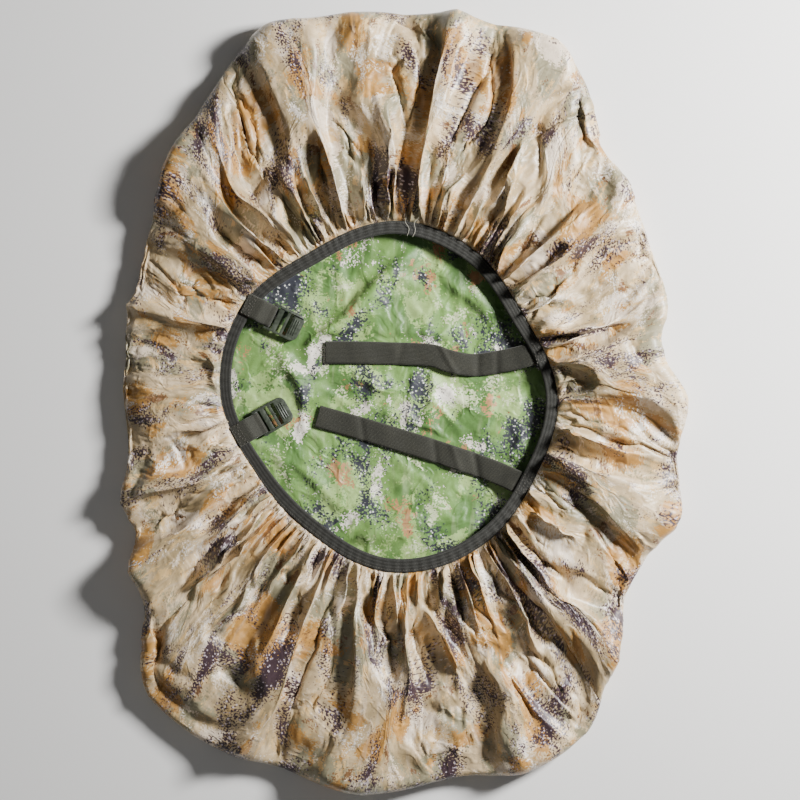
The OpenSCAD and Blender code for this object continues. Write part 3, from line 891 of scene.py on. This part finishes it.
# stitches: one tree lays thread along any path
def stitchTree():
    tree = bpy.data.node_groups.new("stitchRow", "GeometryNodeTree")
    face = tree.interface
    face.new_socket("Geometry", in_out="INPUT", socket_type="NodeSocketGeometry")
    for name, value in (("Pitch", 0.003), ("Stitch length", 0.0022), ("Thread width", 0.0006)):
        face.new_socket(name, in_out="INPUT", socket_type="NodeSocketFloat").default_value = value
    face.new_socket("Thread", in_out="INPUT", socket_type="NodeSocketMaterial")
    face.new_socket("Geometry", in_out="OUTPUT", socket_type="NodeSocketGeometry")
    add, link = tree.nodes.new, tree.links.new
    start, end = add("NodeGroupInput"), add("NodeGroupOutput")
    curve, spaced = add("GeometryNodeMeshToCurve"), add("GeometryNodeCurveToPoints")
    spaced.mode = "LENGTH"
    ball, size = add("GeometryNodeMeshUVSphere"), add("GeometryNodeTransform")
    ball.inputs["Segments"].default_value, ball.inputs["Rings"].default_value = 6, 5
    ball.inputs["Radius"].default_value = 0.5
    scale = add("ShaderNodeCombineXYZ")
    place, real, skin = add("GeometryNodeInstanceOnPoints"), add("GeometryNodeRealizeInstances"), add(
        "GeometryNodeSetMaterial")
    align = add("FunctionNodeAlignRotationToVector")
    align.axis = "X"
    link(start.outputs["Geometry"], curve.inputs[0])
    link(curve.outputs[0], spaced.inputs["Curve"])
    link(start.outputs["Pitch"], spaced.inputs["Length"])
    link(spaced.outputs["Points"], place.inputs["Points"])
    link(spaced.outputs["Tangent"], align.inputs["Vector"])
    link(align.outputs[0], place.inputs["Rotation"])
    link(start.outputs["Stitch length"], scale.inputs["X"])
    link(start.outputs["Thread width"], scale.inputs["Y"])
    link(start.outputs["Thread width"], scale.inputs["Z"])
    link(ball.outputs["Mesh"], size.inputs["Geometry"])
    link(scale.outputs[0], size.inputs["Scale"])
    link(size.outputs[0], place.inputs["Instance"])
    link(place.outputs[0], real.inputs[0])
    link(real.outputs[0], skin.inputs["Geometry"])
    link(start.outputs["Thread"], skin.inputs["Material"])
    link(skin.outputs[0], end.inputs[0])
    return tree


stitching = stitchTree()


def sewRows(name, rows, pitch, length, width, thread):
    # rows are lists of points; each becomes a row of stitches in one piece
    mesh = bpy.data.meshes.new(name)
    points, edges = [], []
    for row in rows:
        base = len(points)
        points += [tuple(p) for p in row]
        edges += [(base + i, base + i + 1) for i in range(len(row) - 1)]
    mesh.from_pydata(points, edges, [])
    piece = placed(name, mesh)
    maker = piece.modifiers.new("stitches", "NODES")
    maker.node_group = stitching
    sockets = {s.name: s.identifier for s in stitching.interface.items_tree if s.in_out == "INPUT"}
    for key, value in (("Pitch", pitch), ("Stitch length", length), ("Thread width", width),
                       ("Thread", thread)):
        maker[sockets[key]] = value
    applied(piece)
    piece.data.shade_smooth()
    return piece


def makeBindingStitches():
    b = binding
    angle, rim = rimLine(b["stations"])
    draws = bindingDraws(angle)
    offset = b["half"] - b["stitchIn"]
    lift = bindingHeight(angle, np.full_like(angle, offset), [draws[0]])
    z = b["high"] + lift + 0.00005
    points = np.stack([mouth[0] + (rim + offset) * np.cos(np.radians(angle)),
                       mouth[1] + (rim + offset) * np.sin(np.radians(angle)), z], -1)
    row = np.vstack([points, points[:1]])
    piece = sewRows("bindingStitches", [row], b["stitchPitch"], b["stitchLength"], b["threadWidth"],
                    darkThread)
    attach(piece, "cover")


makeBindingStitches()


# the buckle tabs
tabWebbing = {
    "width": 0.025, "ply": 0.0012, "rimTop": 0.0173, "rootOut": 0.0125, "barAt": 0.020, "barHeight": 0.0085,
    "barRadius": 0.002, "loopGap": 0.00008,
    "slope": [(0.004, 0.0185), (0.007, 0.0177), (0.012, 0.014), (0.017, 0.0107), (0.020, 0.0085)],
    "rowIn": 0.0015, "diagonalIn": 0.003, "stitchPitch": 0.0032, "stitchLength": 0.0025,
    "threadWidth": 0.0008,
    "upper": {"way": -26, "edge": (-0.161115, 0.102031)},
    "lower": {"way": 30, "edge": (-0.172603, -0.035835)},
}


def fromRim(own, points):  # points drawn along +X from the rim's inner edge, to their place
    way = math.radians(own["way"])
    points = np.array(points, float)
    x = own["edge"][0] + points[..., 0] * math.cos(way) - points[..., 1] * math.sin(way)
    y = own["edge"][1] + points[..., 0] * math.sin(way) + points[..., 1] * math.cos(way)
    return np.stack([x, y, points[..., 2]], -1)


def makeTab(which):
    t, own = tabWebbing, tabWebbing[which]
    top = t["rimTop"] + t["ply"]
    middle = np.vstack([[(-t["rootOut"], top), (-0.006, top), (0, top)], throughPoints(t["slope"], 6)])
    ahead = unit(np.gradient(middle, axis=0))
    across = np.stack([-ahead[:, 1], ahead[:, 0]], -1) * (t["ply"] / 2 + 0.00003)
    keep = middle[:, 0] < t["barAt"] - 0.0032
    loop = t["barRadius"] + t["loopGap"] + t["ply"] / 2
    turn = np.radians(np.linspace(196, 450, 22))
    bar = np.array([t["barAt"], t["barHeight"]])
    ring = bar + loop * np.stack([np.cos(turn), np.sin(turn)], -1)
    path = np.vstack([(middle - across)[keep], ring, (middle + across)[keep][::-1]])
    path, run = evenly(path, 150)
    line = fromRim(own, np.stack([path[:, 0], np.zeros(len(path)), path[:, 1]], -1))
    way = math.radians(own["way"])
    side = np.tile([-math.sin(way), math.cos(way), 0], (len(line), 1))
    up = np.cross(unit(np.gradient(line, axis=0)), side)
    piece = bandMesh(which + "Tab", line, side, up, t["width"], t["ply"] - 0.00008, 11, run)
    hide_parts(which + "_tab", which + "_tab_root")
    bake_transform(piece)


def makeBoxStitches(label, own, z, node):
    t = tabWebbing
    near, far = -t["rowIn"] - 0.001, -t["rootOut"] + t["rowIn"]
    side = t["width"] / 2 - t["rowIn"]
    inner = side - t["diagonalIn"]
    ends = [((near, -side), (near, side)), ((far, -side), (far, side)),
            ((far, -side), (near, -side)), ((far, side), (near, side)),
            ((far + t["rowIn"], -inner), (near - t["rowIn"], inner)),
            ((far + t["rowIn"], inner), (near - t["rowIn"], -inner))]
    rows = []
    for a, b in ends:
        k = np.linspace(0, 1, 8)[:, None]
        flat = np.array(a) + (np.array(b) - np.array(a)) * k
        rows.append(fromRim(own, np.hstack([flat, np.full((8, 1), z)])))
    piece = sewRows(label, rows, t["stitchPitch"], t["stitchLength"], t["threadWidth"], darkThread)
    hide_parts(node)
    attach(piece, "cover")


for which in ("upper", "lower"):
    makeTab(which)
for which in ("upper", "lower"):
    makeBoxStitches(which + "TabStitches", tabWebbing[which], tabWebbing["rimTop"] + 2 * tabWebbing["ply"],
                    which + "_tab_stitches")
    makeBoxStitches(which + "StrapStitches", strapWebbing[which], binding["high"] + 0.0001,
                    which + "_strap_stitches")
print("tabs and stitches sewn")


# buckles: the moulded shape with its edges eased
buckle = {"ease": 0.00045, "easeSteps": 2, "weld": 0.00001,
          "flatWithin": 2, "easeFrom": 32, "sharpFrom": 38}  # the last three in degrees


def makeBuckle(which):
    node = nodes[which + "_buckle"]
    piece = placed(which + "LadderLock", node.data.copy())
    shape = bmesh.new()
    shape.from_mesh(piece.data)
    bmesh.ops.remove_doubles(shape, verts=shape.verts, dist=buckle["weld"])
    bmesh.ops.dissolve_limit(shape, angle_limit=math.radians(buckle["flatWithin"]), verts=shape.verts,
                             edges=shape.edges)
    shape.to_mesh(piece.data)
    shape.free()
    ease = piece.modifiers.new("easedEdges", "BEVEL")
    ease.width, ease.segments, ease.limit_method = buckle["ease"], buckle["easeSteps"], "ANGLE"
    ease.angle_limit, ease.use_clamp_overlap = math.radians(buckle["easeFrom"]), True
    ease.harden_normals = False
    applied(piece)
    piece.data.materials.clear()
    piece.data.materials.append(buckleNylon)
    piece.data.shade_smooth()
    piece.data.set_sharp_from_angle(angle=math.radians(buckle["sharpFrom"]))
    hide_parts(which + "_buckle")
    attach(piece, which + "_buckle")


for which in ("upper", "lower"):
    makeBuckle(which)
print("buckles eased")


# loose thread ends at the top of the binding
threadEnds = {
    "radius": 0.00022,
    "paths": [
        [(0.008, 0.182, 0.0176), (0.010, 0.190, 0.0182), (0.006, 0.198, 0.0200), (0.009, 0.207, 0.0215),
         (0.015, 0.212, 0.0225)],
        [(0.014, 0.181, 0.0176), (0.017, 0.188, 0.0182), (0.016, 0.196, 0.0196), (0.021, 0.203, 0.0210),
         (0.018, 0.209, 0.0220)],
    ],
}


def makeThreadEnd(number, path):
    line = bpy.data.curves.new(f"threadEnd{number}", "CURVE")
    line.dimensions, line.bevel_depth, line.bevel_resolution = "3D", threadEnds["radius"], 2
    line.use_fill_caps = True
    fine = throughPoints(path, 6)
    spline = line.splines.new("POLY")
    spline.points.add(len(fine) - 1)
    for point, place in zip(spline.points, fine):
        point.co = (*place, 1)
    piece = placed(f"threadEnd{number}", line)
    line.materials.append(paleThread)
    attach(piece, "cover")


for k, path in enumerate(threadEnds["paths"]):
    makeThreadEnd(k + 1, path)


# the elastic's finish, each wall's flat size, and what each soft piece rides on
elastic = nodes["rim_elastic"]
elastic.data.materials.clear()
elastic.data.materials.append(blackElastic)
for side, piece in walls:
    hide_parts(side + "_wall")
    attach(piece, "cover")
    print(side, "wall flat", round(piece["cutWidth"], 3), "x", round(piece["cutLength"], 3), "area",
          round(piece["cutArea"], 4))
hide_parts("base_panel")
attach(bigPanel, "cover")
